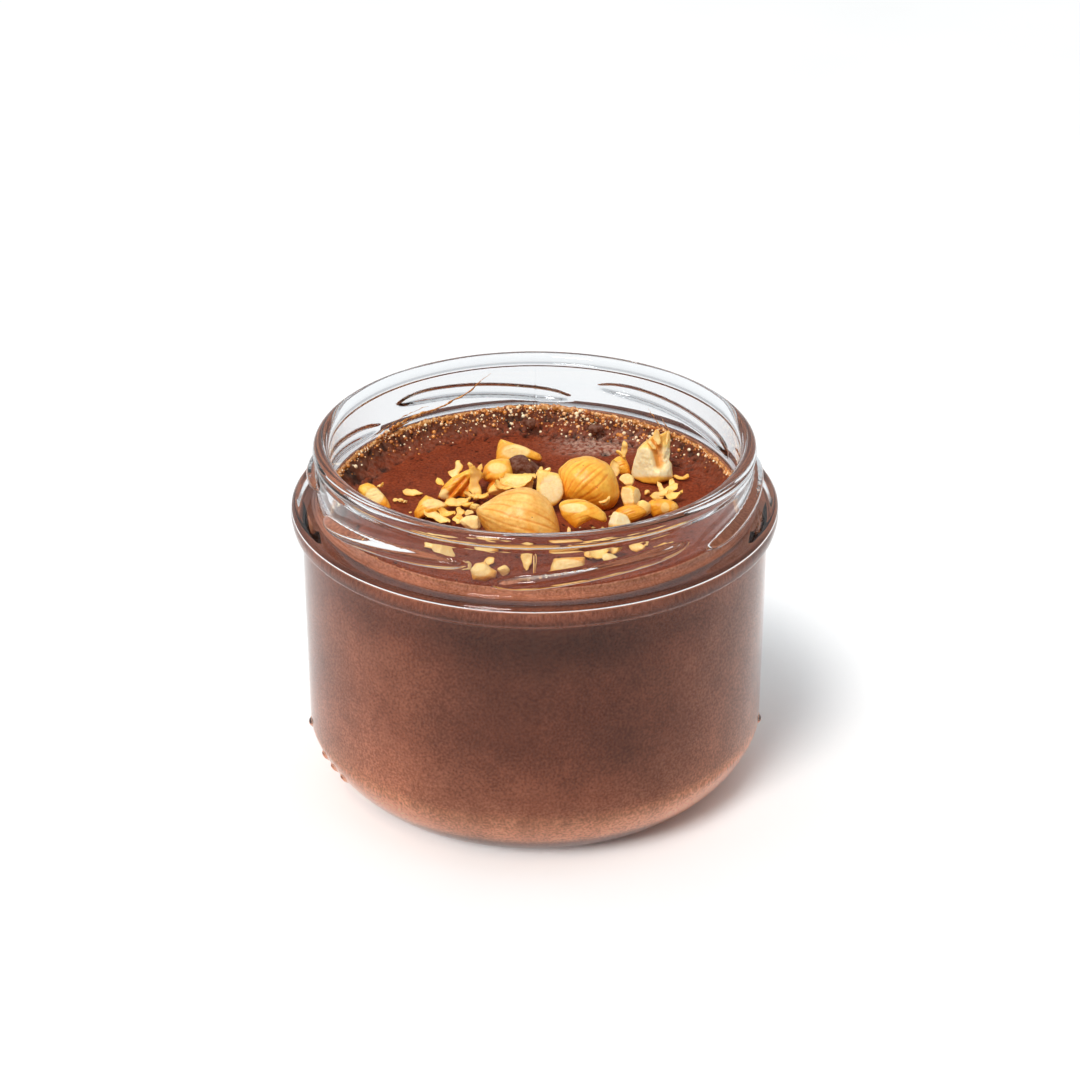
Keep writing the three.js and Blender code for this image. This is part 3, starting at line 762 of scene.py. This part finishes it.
def kernel_shape(directions, spec, seed):
    """Points of a kernel piece round its centre, how far each is a broken face, how far it lies in a stripe
    or a cleft, both darkened, the clefts as painted shade, and how low it sits, for painted shade on its
    lower side.

    The outline is drawn on a plane that leans back by LEAN, each point as how far right and how far up.
    Depths are how far the piece stands out in front of that plane and behind it.
    """
    lean = turn_matrix((-LEAN, 0, 0))
    local = directions @ lean
    degrees, reach = outline_reach(spec["outline"], spec.get("soft", 5))
    edge = np.interp(np.degrees(np.arctan2(local[:, 2], local[:, 0])), degrees, reach, period=360)
    front, back = spec["depth"]
    power = spec.get("edge", 2.6)
    side = np.hypot(local[:, 0], local[:, 2]) / edge
    deep = np.abs(local[:, 1]) / np.where(local[:, 1] < 0, front, back)
    skin = (side**power + deep**power) ** (-1 / power)

    pole = np.array(Vector(spec.get("pole", (0.9, 0, 0.3))).normalized())
    across = np.cross(pole, (0.1, 1, 0.2))
    across /= np.linalg.norm(across)
    longitude = np.arctan2(local @ np.cross(pole, across), local @ across)
    count, depth = spec.get("ridges", (18, 0.05))
    wobble = 0.25 * noise(directions, 0.8, seed)
    wave = 0.6 * np.sin(longitude * count + 5 * wobble)
    wave = wave + 0.4 * np.sin(longitude * count * 1.7 + 8 * wobble + 2)
    from_pole = np.arccos(np.clip(local @ pole, -1, 1))
    patch = spec.get("patch", -0.45)
    fade = np.sin(from_pole) ** 0.5 * smoothstep(patch, patch + 0.95, noise(directions, 0.7, seed + 3))
    skin = skin * (1 + 0.05 * rough(directions, 0.8, seed + 1, 4)) + depth * wave * fade

    sharp = 40
    total = (1 / skin) ** sharp
    cut = np.zeros(len(directions))
    for number, (x, y, z, distance) in enumerate(spec.get("breaks", [])):
        facing = directions @ np.array(Vector((x, y, z)).normalized())
        flat = np.where(facing > 1e-3, distance / np.maximum(facing, 1e-3), 1e3)
        near = directions * np.minimum(flat, 9)[:, None]
        flat = flat * (1 + 0.12 * rough(near, 2.0, seed + 20 + number, 4))
        cut = np.maximum(cut, smoothstep(-0.02, 0.03, 1 - flat / skin))
        total = total + (1 / flat) ** sharp
    radius = total ** (-1 / sharp)
    points = directions * (radius + 0.06 * rough(directions * radius[:, None], 0.8, seed + 7, 3))[:, None]

    drawn = points @ lean
    right, up, in_front = drawn[:, 0], drawn[:, 2], -drawn[:, 1]
    groove = np.clip(smoothstep(0.1, 0.9, -wave) * fade * 1.3, 0, 1) * (1 - cut)
    groove = groove * spec.get("stripes", 1)
    split = np.zeros(len(points))
    for x0, z0, x1, z1, width, depth in spec.get("clefts", []):
        along = (right - x0) * (x1 - x0) + (up - z0) * (z1 - z0)
        along = np.clip(along / ((x1 - x0) ** 2 + (z1 - z0) ** 2), 0, 1)
        off = np.hypot(right - x0 - along * (x1 - x0), up - z0 - along * (z1 - z0))
        cleft = np.exp(-((off / width) ** 2)) * smoothstep(-0.6, 0.6, in_front)
        drawn[:, 1] += depth * cleft
        # Each cleft is pressed in and darkened as painted shade in its hollow.
        groove = np.maximum(groove, cleft * 1.4)
        split = np.maximum(split, cleft)
    for x, z, wide, high, amount in spec.get("cream", []):
        patch = smoothstep(1.12, 0.88, np.hypot((right - x) / wide, (up - z) / high))
        patch = patch * smoothstep(-0.4, 0.4, in_front)
        cut = np.maximum(cut, amount * patch)
    bottom, top = spec.get("cut_between", (-99, 99))
    cut = cut * (1 - 0.9 * split) * smoothstep(bottom - 0.2, bottom + 0.4, up)
    cut = cut * smoothstep(top + 0.5, top - 0.5, up)
    drawn[:, 1] += spec.get("bend", 0) * right**2
    points = drawn @ lean.T
    # Painted shade: how low each point sits, which deepens its colour.
    low = smoothstep(0.5, -0.9, points[:, 2] / np.abs(points[:, 2]).max())
    return points, cut, np.clip(groove, 0, 1), low


def placed(points, node):
    """The points moved to the middle of their CAD node's box and scaled to its width."""
    low, high = (np.array(corner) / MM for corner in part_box(node))
    lowest, highest = points.min(0), points.max(0)
    scale = (high[0] - low[0]) / (highest[0] - lowest[0])
    return (points - (lowest + highest) / 2) * scale + (low + high) / 2


# Every kernel piece: its outline in millimetres from its middle, its depths, and its marks.
KERNELS = {
    "whole_front": dict(
        outline=[(-7.7, 2.1), (-6.9, 2.7), (-5.3, 3.6), (-3.6, 4.5), (-1.6, 5.5), (0.4, 6.0), (2.1, 6.0),
                 (3.8, 5.4), (5.3, 4.3), (6.3, 2.9), (7.0, 0.9), (7.6, -1.4), (7.5, -3.8), (5.8, -5.3),
                 (2.3, -6.0), (-1.1, -5.1), (-4.0, -3.4), (-6.0, -1.4), (-7.2, 0.7)],
        depth=(5.6, 5.2), edge=2, soft=5, pole=(-0.96, 0, 0.27), ridges=(22, 0.05), stripes=0.8,
        patch=-0.95, tone="pale"),
    "whole_back": dict(
        outline=[(-5.75, 2.6), (-3.3, 4.5), (-0.8, 5.15), (0.7, 5.05), (2.05, 4.5), (3.8, 3.5), (4.6, 2.3),
                 (5.25, 0.45), (5.75, -1.55), (5.4, -3.2), (4.6, -4.4), (3.15, -5.15), (1.2, -4.9),
                 (-1.3, -4.3), (-3.5, -3.7), (-5.0, -2.7), (-5.5, 0.1)],
        depth=(5.4, 5.2), edge=2, soft=9, pole=(0.72, 0.15, 0.67), ridges=(24, 0.055), patch=-0.8,
        tone="gold"),
    "shell_back": dict(
        outline=[(-3.3, 2.4), (-1.3, 1.7), (1.2, 0.9), (3.75, -0.3), (4.05, -1.2), (3.55, -1.65),
                 (1.2, -1.05), (-1.0, -1.25), (-2.15, -2.1), (-4.05, -2.6), (-4.0, -0.4), (-3.7, 1.5)],
        depth=(1.7, 1.9), edge=3.4, soft=2, cream=[(-0.6, 0.2, 2.4, 1.2, 0.7)], tone="gold"),
    "chunk_middle": dict(
        outline=[(-2.8, 0.55), (-2.3, 1.9), (-1.25, 2.9), (0.25, 3.2), (1.75, 3.1), (2.6, 1.75),
                 (2.8, -0.1), (2.25, -1.45), (0.1, -2.5), (-1.85, -3.2), (-2.1, -2.3), (-1.5, -0.8),
                 (-2.6, -0.6)],
        depth=(2.6, 2.6), edge=2.4, soft=4, clefts=[(-2.6, -1.0, 1.0, -0.9, 0.5, 0.7)],
        cream=[(-0.2, 1.5, 1.6, 0.9, 0.6)], tone="gold"),
    "half_middle": dict(
        outline=[(-2.45, 3.6), (-0.7, 3.4), (0.25, 3.0), (1.6, 2.75), (2.3, 1.25), (2.6, -0.75),
                 (2.2, -2.1), (1.2, -3.1), (0.15, -3.6), (-0.7, -2.95), (-2.0, -1.95), (-2.6, -0.75),
                 (-2.5, 1.75)],
        depth=(0.75, 0.95), edge=3.2, soft=3, cream=[(0.3, -0.2, 2.2, 2.6, 0.7)], ridges=(16, 0.03),
        tone="white"),
    "half_front": dict(
        outline=[(-5.1, 1.6), (-4.7, 2.4), (-3.5, 2.9), (-1.5, 3.1), (0.35, 2.9), (2.9, 1.6), (4.75, 0),
                 (5.1, -1.3), (4.75, -2.1), (3.55, -1.7), (2.2, -1.2), (0.55, -2.0), (-1.65, -3.3),
                 (-3.15, -2.0), (-4.5, -0.4)],
        depth=(2.6, 2.8), edge=2.3, soft=3, cream=[(-2.0, 1.1, 2.8, 1.0, 0.75)], ridges=(14, 0.03),
        tone="gold"),
    "chunk_right": dict(
        outline=[(-3.65, -2.6), (-3.25, -0.6), (-2.4, 1.65), (-1.05, 2.95), (0, 3.75), (1.5, 4.1),
                 (2.65, 4.65), (3.15, 3.95), (3.1, 1.1), (2.9, -0.35), (3.5, -1.1), (3.65, -3.55),
                 (2.65, -4.0), (0.45, -4.65), (-1.55, -4.3), (-3.4, -3.3)],
        depth=(2.7, 2.6), edge=3, soft=2.5, clefts=[(0.5, 3.0, 1.2, -1.2, 0.85, 1.9)],
        cream=[(-1.5, -0.7, 1.9, 2.6, 1.0), (2.5, -2.1, 1.3, 1.2, 1.0)],
        breaks=[(-0.5, -0.85, 0.1, 2.1), (0.75, -0.6, 0.3, 2.4)], cut_between=(-3.3, 1.7), tone="white"),
    "slice_left": dict(
        outline=[(-2.8, 1.1), (-2.5, 1.8), (-1.2, 2.3), (-0.1, 1.85), (1.5, 0.25), (2.2, -0.75),
                 (2.8, -2.1), (0.6, -2.4), (-1.55, -0.75)],
        depth=(1.6, 1.6), edge=3.4, soft=3, cream=[(0.0, 0.1, 1.5, 1.3, 0.95)], tone="gold"),
    "chunk_left": dict(
        outline=[(-0.95, 2.05), (1.75, 1.0), (2.9, 0.4), (1.6, -0.55), (-0.75, -1.3), (-2.6, -2.1),
                 (-2.9, -0.7), (-1.95, 1.0)],
        depth=(1.9, 1.5), edge=2.4, soft=3, bend=0.05, cream=[(0.4, 0.7, 1.9, 0.8, 0.7)], tone="gold"),
    "curl_left": dict(
        outline=[(-3.2, -2.25), (-2.3, -0.4), (-0.6, 1.3), (1.9, 2.55), (3.15, 2.8), (3.0, 0.1),
                 (1.75, -2.25), (0.4, -1.85), (-0.95, -2.75), (-1.9, -2.75)],
        depth=(1.7, 1.5), edge=2.6, soft=2.5,
        clefts=[(-1.0, -1.8, 1.7, 1.2, 0.35, 0.7), (1.0, -1.6, 2.4, 0.4, 0.55, 1.4)],
        cream=[(-2.0, -1.6, 0.9, 0.9, 0.8)], tone="gold"),
    "chunk_back": dict(
        outline=[(-1.9, 0.95), (-1.05, 1.7), (0, 2.2), (0.7, 1.6), (1.5, 0.1), (1.9, -1.4), (1.65, -2.2),
                 (0, -1.75), (-1.05, -0.7), (-1.7, -0.2)],
        depth=(1.6, 1.6), edge=2.3, soft=4, tone="gold"),
    "chunk_centre": dict(
        outline=[(-1.6, 0.6), (-1.3, 1.65), (0.05, 1.9), (1.25, 1.3), (1.6, 0.45), (1.25, -0.9),
                 (0.75, -1.9), (-0.25, -1.8), (-0.95, -1.55), (-1.3, -0.4)],
        depth=(1.4, 1.4), edge=3, soft=2, cream=[(-0.5, 0.5, 0.9, 1.0, 0.5)],
        breaks=[(-0.5, -0.8, 0.4, 1.05), (0.8, -0.5, 0.3, 1.1)], cut_between=(-0.9, 99), tone="gold"),
    "slice_right": dict(
        outline=[(-2.7, 0.25), (-2.0, 0.95), (-0.85, 1.45), (0.85, 1.5), (2.0, 0.95), (2.7, 0.2),
                 (2.0, -0.55), (0.7, -1.25), (-0.5, -1.5), (-1.5, -1.1)],
        depth=(1.5, 1.5), edge=2.3, soft=4, tone="deep"),
    "slice_front": dict(
        outline=[(-2.0, -0.45), (-1.5, 0.9), (-0.95, 1.65), (0.25, 1.45), (1.35, 0.9), (1.95, -0.3),
                 (2.0, -1.3), (0.1, -1.65), (-1.95, -1.3)],
        depth=(1.5, 1.4), edge=3.2, soft=2, cream=[(0, 0, 1.6, 1.3, 0.8)],
        breaks=[(0.3, -0.9, 0.4, 1.1), (-0.8, -0.4, 0.5, 1.3)], cut_between=(-0.8, 99), tone="white"),
    "chunk_side": dict(
        outline=[(-2.75, 0.65), (-2.0, 1.25), (-0.6, 1.55), (1.05, 1.4), (2.25, 0.85), (2.75, 0.15),
                 (2.4, -0.7), (0.2, -1.3), (-1.65, -1.55), (-2.3, -0.5)],
        depth=(1.6, 1.5), edge=2.4, soft=3, cream=[(0.3, 0, 0.7, 0.9, 0.75), (1.9, 0.1, 0.6, 0.7, 0.4)],
        tone="deep"),
    "block_front": dict(
        outline=[(-2.8, 1.85), (3.6, 2.2), (3.7, 1.2), (3.2, -1.35), (-0.25, -2.1), (-3.7, -2.25),
                 (-3.45, 0.2)],
        depth=(2.2, 2.2), edge=4, soft=3, cream=[(0, 0.6, 3.2, 1.2, 0.6)], tone="pale"),
    "chunk_front": dict(
        outline=[(-2, 0.3), (-1.2, 1.3), (0.3, 1.5), (1.2, 0.6), (2.1, 0.1), (1.9, -0.9), (0.2, -1.5),
                 (-1.6, -1.2)],
        depth=(1.5, 1.5), edge=2.4, soft=4, cream=[(-0.4, 0.3, 1.5, 1.0, 0.6)], tone="pale"),
}


def make_kernels(materials):
    fine, middle, plain = ball(7), ball(6), ball(5)
    for seed, (name, spec) in enumerate(KERNELS.items(), start=100):
        low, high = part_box(f"hazelnut_{name}")
        width = (high.x - low.x) / MM
        directions, faces = fine if width > 13 else middle if width > 7 else plain
        points, cut, groove, low = kernel_shape(directions, spec, seed)
        points = placed(points, f"hazelnut_{name}")
        obj = mesh_object(f"kernel_{name}", points, [faces], cut=cut, groove=groove, low=low)
        as_piece(obj, materials[spec["tone"]], "hazelnut", f"hazelnut_{name}")


# Thin flakes: centre, length, width, heading and lift in degrees, curl, and tone from skin (0) to cream (1).
FLAKES = [
    ((-22.2, 6.3, 52.5), 3.6, 1.1, 172, 6, 0.1, 0.6),
    ((-13.9, 0.4, 53.4), 4.8, 1.9, -6, 10, 0.3, 0.55),
    ((-12.0, -1.0, 53.5), 2.4, 1.2, -35, 15, 0.3, 0.3),
    ((-17.5, -5.2, 53.2), 5.2, 1.9, -30, -14, 0.2, 0.9),
    ((-15.8, -4.6, 53.7), 3.2, 1.6, -22, -8, 0.4, 0.25),
    ((-13.6, -6.4, 54.0), 3.0, 1.5, 70, 40, 0.3, 0.6),
    ((-12.9, -7.0, 53.6), 2.4, 1.1, 150, 20, 0.3, 0.4),
    ((-10.8, 5.0, 55.2), 6.2, 1.9, 95, 78, 0.25, 0.55),
    ((-11.9, 3.4, 53.3), 2.8, 0.9, 205, 25, 0.3, 0.6),
    ((-9.6, 3.2, 53.2), 2.8, 0.9, -25, 15, 0.3, 0.4),
    ((-10.6, 2.4, 53.2), 2.4, 0.8, -85, 12, 0.3, 0.7),
    ((-11.6, 6.4, 57.3), 2.4, 0.8, 130, 66, 0.1, 0.7),
    ((-10.0, 6.2, 57.2), 2.2, 0.8, 30, 62, 0.1, 0.6),
    ((-14.2, 7.4, 56.5), 3.4, 1.8, 42, 60, 0.15, 1.0),
    ((-17.2, 6.0, 54.7), 1.8, 1.1, 120, 30, 0.2, 0.2),
    ((-2.8, 4.9, 55.5), 6.4, 3.0, -16, 8, 0.35, 0.85),
    ((-5.6, 4.0, 54.9), 4.2, 2.2, 24, -12, 0.3, 0.4),
    ((-2.0, 9.8, 56.5), 2.8, 0.7, 25, 20, 0.3, 0.9),
    ((-2.6, 9.6, 56.4), 2.2, 0.6, -50, 15, 0.3, 0.9),
    ((16.4, 14.2, 57.4), 3.4, 0.9, 85, 80, 0.1, 0.75),
    ((15.7, 14.0, 56.6), 2.0, 0.8, 170, 40, 0.2, 0.6),
    ((14.6, 9.4, 56.0), 2.8, 1.7, 100, 70, 0.2, 0.85),
    ((23.4, 4.2, 53.7), 5.8, 1.3, 27, 9, 0.2, 0.7),
    ((24.9, 5.6, 54.1), 2.8, 1.0, 75, 30, 0.2, 0.75),
    ((22.2, 3.0, 53.2), 2.8, 1.0, 205, 8, 0.2, 0.6),
    ((25.4, 3.4, 53.3), 3.0, 1.9, -12, 10, 0.5, 0.5),
    ((22.8, 5.2, 54.2), 2.2, 0.7, 125, 42, 0.1, 0.8),
    ((26.8, 12.2, 52.8), 3.0, 0.8, -22, 5, 0.2, 0.3),
    ((20.4, 6.0, 52.6), 1.2, 0.8, 40, 8, 0.1, 0.6),
    ((12.4, -5.2, 56.4), 2.6, 0.8, -42, 25, 0.2, 0.8),
    ((12.8, -4.6, 56.0), 2.2, 0.7, 35, 35, 0.2, 0.6),
    ((6.0, -15.4, 55.3), 1.9, 0.6, 80, 74, 0.1, 0.95),
    ((9.0, -16.2, 54.2), 4.4, 1.2, 8, 4, 0.3, 0.75),
    ((22.3, 12.2, 60.9), 2.8, 0.8, 100, 68, 0.1, 0.85),
    ((24.2, 12.2, 60.8), 2.6, 0.7, 70, 72, 0.1, 0.8),
    ((21.2, 11.8, 59.6), 2.4, 0.8, 160, 50, 0.2, 0.9),
    ((0.9, 1.0, 59.3), 1.8, 0.8, 20, 52, 0.2, 1.0),
    ((2.3, 1.1, 59.3), 1.6, 0.7, -12, 35, 0.2, 1.0),
    ((-27.9, 4.6, 54.8), 1.8, 0.9, -48, 30, 0.2, 0.9),
    ((-19.8, -10.4, 52.9), 4.4, 1.2, -16, 8, 0.3, 0.7),
    ((-18.1, -15.2, 53.4), 2.4, 1.6, 20, 35, 0.3, 1.0),
    ((-1.2, -22.2, 53.9), 3.8, 1.4, 72, 56, 0.2, 0.7),
    ((11.4, -19.0, 53.5), 4.2, 1.7, 24, 18, 0.6, 0.6),
    ((14.2, -18.2, 53.7), 3.4, 1.4, -38, 28, 0.5, 0.7),
    ((9.6, -18.6, 53.2), 2.6, 1.3, 100, 34, 0.4, 0.5),
    ((22.4, -15.8, 52.9), 3.8, 1.3, 15, 8, 0.3, 0.6),
    ((18.0, -16.0, 52.8), 2.8, 1.1, -25, 10, 0.3, 0.7),
    ((-8.0, -21.6, 52.8), 2.4, 1.1, 30, 14, 0.3, 0.6),
]

# Small chips: centre, half sizes, heading in degrees, and tone.
CHIPS = [
    ((-11.3, -8.4, 53.6), (1.8, 1.3, 1.1), 20, 0.85),
    ((-10.9, -2.6, 54.0), (0.9, 0.7, 0.7), 40, 0.5),
    ((-11.8, -3.3, 53.1), (0.7, 0.5, 0.5), 10, 0.7),
    ((-2.6, 5.0, 54.4), (3.0, 1.0, 1.3), -12, 0.75),
    ((-5.6, 4.6, 54.0), (2.6, 1.1, 1.3), 18, 0.35),
    ((16.6, 5.4, 55.2), (1.25, 1.1, 1.15), 30, 0.7),
    ((19.5, -2.8, 53.8), (1.3, 1.0, 1.4), 10, 0.5),
    ((-24.4, 3.2, 52.4), (0.5, 0.4, 0.3), 0, 0.5),
    ((-23.5, 2.9, 52.3), (0.4, 0.3, 0.3), 50, 0.7),
    ((-25.3, 3.6, 52.3), (0.4, 0.3, 0.3), 20, 0.4),
    ((-15.9, -17.8, 53.2), (1.9, 1.4, 1.4), -20, 0.8),
    ((13.0, -20.2, 53.0), (1.3, 0.9, 0.9), 10, 0.8),
    ((-5.4, -24.4, 52.9), (1.0, 0.8, 0.8), 35, 0.6),
    ((-11.6, -22.6, 52.9), (0.8, 0.7, 0.7), 15, 0.9),
]


def flake(centre, length, width, heading, lift, curl, seed, tone):
    """A thin, curled flake with a torn edge of skin, rolled a little towards the front."""
    steps, across = 23, 7
    u = np.linspace(-1, 1, steps)[:, None]
    v = np.linspace(-1, 1, across)[None, :]
    side, place = np.meshgrid([0.0, 9.0], u[:, 0] * length / 2, indexing="ij")
    probe = np.stack([place, side, np.full_like(place, seed * 3.7)], axis=-1)
    ragged = 0.65 * min(1, 1.3 / width)
    sheet_line = np.concatenate([u * length / 2, 0 * u, 0 * u + seed], axis=1)[:, None]
    torn = (1 + ragged * noise(probe, 1.3, 17) + 0.3 * ragged * noise(probe, 0.5, 18))[:, :, None]
    body = ((1 - np.abs(u) ** 5) ** 0.6 + 0.06) * (1 + 0.3 * noise(sheet_line, 1.5, seed + 30))
    x = u * length / 2 + 0.1 * v * width
    y = np.where(v < 0, torn[0], torn[1]) * v * body * width / 2
    sheet = np.stack([x, y, np.zeros_like(x)], axis=-1)
    z = curl * length / 2 * (u**2 - 0.4) + curl * v**2 * width / 2 + 0.2 * noise(sheet, 0.9, seed)
    thick = 0.32 * (1 - 0.62 * v**4) * (1 - 0.6 * u**4) * (0.8 + 0.4 * noise(sheet, 1.2, seed + 60))
    top, under = np.stack([x, y, z + thick], axis=-1), np.stack([x, y, z - thick], axis=-1)
    ring = np.concatenate([top, under[:, ::-1]], axis=1)
    roll = 24 * math.cos(math.radians(heading))
    points = ring.reshape(-1, 3) @ turn_matrix((roll, -lift, heading)).T + np.array(centre)
    sides = across * 2
    ends = [np.arange(sides)[None, ::-1], np.arange((steps - 1) * sides, steps * sides)[None, :]]
    inside = (1 - 0.75 * np.concatenate([v, v[:, ::-1]], axis=1) ** 2) * (1 - 0.6 * u**4)
    return points, [grid_faces(steps, sides)] + ends, (tone * inside).ravel()


def chip(centre, half, heading, seed, shape):
    """A small angular crumb of kernel."""
    directions, faces = shape
    random = np.random.default_rng(seed)
    planes = random.normal(size=(8, 3))
    planes /= np.linalg.norm(planes, axis=1, keepdims=True)
    facing = np.maximum(directions @ planes.T / random.uniform(0.6, 1.0, 8), 1e-3)
    radius = (np.sum(facing**40, axis=1) + 0.8**40) ** (-1 / 40)
    radius = radius[:, None] * (1 + 0.06 * rough(directions, 0.5, seed))[:, None]
    points = directions * radius * np.array(half)
    return points @ turn_matrix((0, 0, heading)).T + np.array(centre), [faces]


def make_fragments(material, random):
    parts = []
    for seed, (centre, length, width, heading, lift, curl, tone) in enumerate(FLAKES):
        parts.append(flake(centre, length, width, heading, lift, curl, seed, tone))
    points, faces, tones = joined(parts)
    obj = mesh_object("kernel_flakes", points, faces, cut=tones)
    as_piece(obj, material, "hazelnut")
    medium, coarse = ball(5), ball(2)
    parts = [(*chip(centre, half, heading, seed, medium), tone)
             for seed, (centre, half, heading, tone) in enumerate(CHIPS)]
    for seed in range(CRUMB_COUNT):
        x, y = random.normal((4, -1), (12, 7))
        height = mousse_top(np.array([x]), np.array([y]))[0][0]
        size = random.uniform(0.12, 0.38)
        centre, half = (x, y, height + size * 0.3), (size * 1.4, size, size * 0.8)
        crumb = chip(centre, half, random.uniform(0, 180), 200 + seed, coarse)
        parts.append((*crumb, random.uniform(0.2, 1)))
    points, faces, tones = joined(parts)
    obj = mesh_object("kernel_crumbs", points, faces, cut=tones)
    as_piece(obj, material, "hazelnut")


def make_lump(material):
    """The smear of mousse that clings under the curved shell piece."""
    lumps = [((-2.2, 10.6, 54.2), (3.2, 3.4, 2.7), 10), ((-4.2, 12.2, 53.4), (1.6, 1.2, 1.2), 50),
             ((11.6, 30.4, 54.2), (1.3, 1.0, 0.9), 20), ((-1.0, 31.6, 54.6), (1.2, 1.0, 0.9), 0)]
    shape = ball(5)
    points, faces, _ = joined([(*chip(centre, half, heading, 300 + i, shape), 0.0)
                               for i, (centre, half, heading) in enumerate(lumps)])
    # The lumps take the darkening of the bank foam nearly in full, partly as painted shade, and a little of
    # the sheen.
    some, one = np.full(len(points), 0.8), np.ones(len(points))
    obj = mesh_object("mousse_lumps", points, faces, dark=some, wet=0.3 * one, glow=one)
    as_piece(obj, material, "mousse_foam")


# ---------------------------------------------------------------- the stage


def make_floor():
    floor = mesh_object("floor", [(-3000, -3000, 0), (3000, -3000, 0), (3000, 3000, 0), (-3000, 3000, 0)],
                        [np.array([[0, 1, 2, 3]])])
    floor.data.materials.append(floor_material())


def area_light(name, direction, distance, size, power, colour):
    light = bpy.data.lights.new(name, "AREA")
    light.shape = "DISK"
    light.size = size
    light.energy = power
    light.color = colour
    obj = bpy.data.objects.new(name, light)
    aim = Vector(direction).normalized()
    obj.location = aim * distance + Vector((0, 0, 0.04))
    obj.rotation_euler = aim.to_track_quat("Z", "Y").to_euler()
    bpy.context.scene.collection.objects.link(obj)


# How the room's light changes along an axis: from where, to where, and the strength at both.
ROOM_SHADES = [("Z", 0.0, 0.9, 0.72, 0.78), ("Y", -0.9, 0.1, 0.35, 1.0), ("X", -1.0, 1.0, 1.2, 0.9)]


def make_lights():
    """A bright room that is darker towards the front and the right, and a lamp high at the front left."""
    world = bpy.data.worlds.new("room")
    world.use_nodes = True
    bpy.context.scene.world = world
    tree = world.node_tree
    way = tree.nodes.new("ShaderNodeSeparateXYZ")
    tree.links.new(tree.nodes.new("ShaderNodeTexCoord").outputs["Generated"], way.inputs[0])
    strength = None
    for axis, start, end, at_start, at_end in ROOM_SHADES:
        shade = tree.nodes.new("ShaderNodeMapRange")
        inputs = {"From Min": start, "From Max": end, "To Min": at_start, "To Max": at_end}
        for key, value in inputs.items():
            shade.inputs[key].default_value = value
        tree.links.new(way.outputs[axis], shade.inputs["Value"])
        if strength is None:
            strength = shade.outputs[0]
            continue
        product = tree.nodes.new("ShaderNodeMath")
        product.operation = "MULTIPLY"
        tree.links.new(strength, product.inputs[0])
        tree.links.new(shade.outputs[0], product.inputs[1])
        strength = product.outputs[0]
    background = tree.nodes["Background"]
    background.inputs["Color"].default_value = (0.95, 0.98, 1.0, 1)
    tree.links.new(strength, background.inputs["Strength"])
    area_light("key", (-0.27, -0.48, 0.835), 2.5, 0.75, 48, (1.0, 0.985, 0.96))


def make_camera():
    distance, pitch = 0.65, math.radians(LEAN)
    target = Vector((0.00094, 0, 0.046))
    camera = bpy.data.cameras.new("camera")
    camera.sensor_width = 36
    camera.lens = 119.53
    camera.clip_start = 0.05
    camera.clip_end = 20
    obj = bpy.data.objects.new("camera", camera)
    obj.location = target + distance * Vector((0, -math.cos(pitch), math.sin(pitch)))
    obj.rotation_euler = (math.pi / 2 - pitch, 0, 0)
    bpy.context.scene.collection.objects.link(obj)
    bpy.context.scene.camera = obj


bpy.context.scene.view_settings.view_transform = "Standard"
bpy.context.scene.view_settings.gamma = 0.92
random = np.random.default_rng(RANDOM_SEED)
make_camera()
make_lights()
make_floor()
make_jar(glass_material())
foam_material = mousse_material()
make_mousse(foam_material)
make_lump(foam_material)
make_bubbles(bubble_material(), random)
make_smears(smear_material())
kernel_materials = {
    "white": kernel_material("kernel_white", (1.0, 0.74, 0.26), (0.94, 0.48, 0.06), (1.0, 0.9, 0.62)),
    "pale": kernel_material("kernel_pale", (0.93, 0.61, 0.2), (0.87, 0.35, 0.02), (0.96, 0.8, 0.44)),
    "gold": kernel_material("kernel_gold", (0.98, 0.6, 0.1), (0.9, 0.33, 0.012), (1.0, 0.8, 0.42)),
    "deep": kernel_material("kernel_deep", (0.9, 0.45, 0.045), (0.82, 0.3, 0.01), (0.93, 0.68, 0.28)),
}
make_kernels(kernel_materials)
make_fragments(kernel_materials["gold"], random)
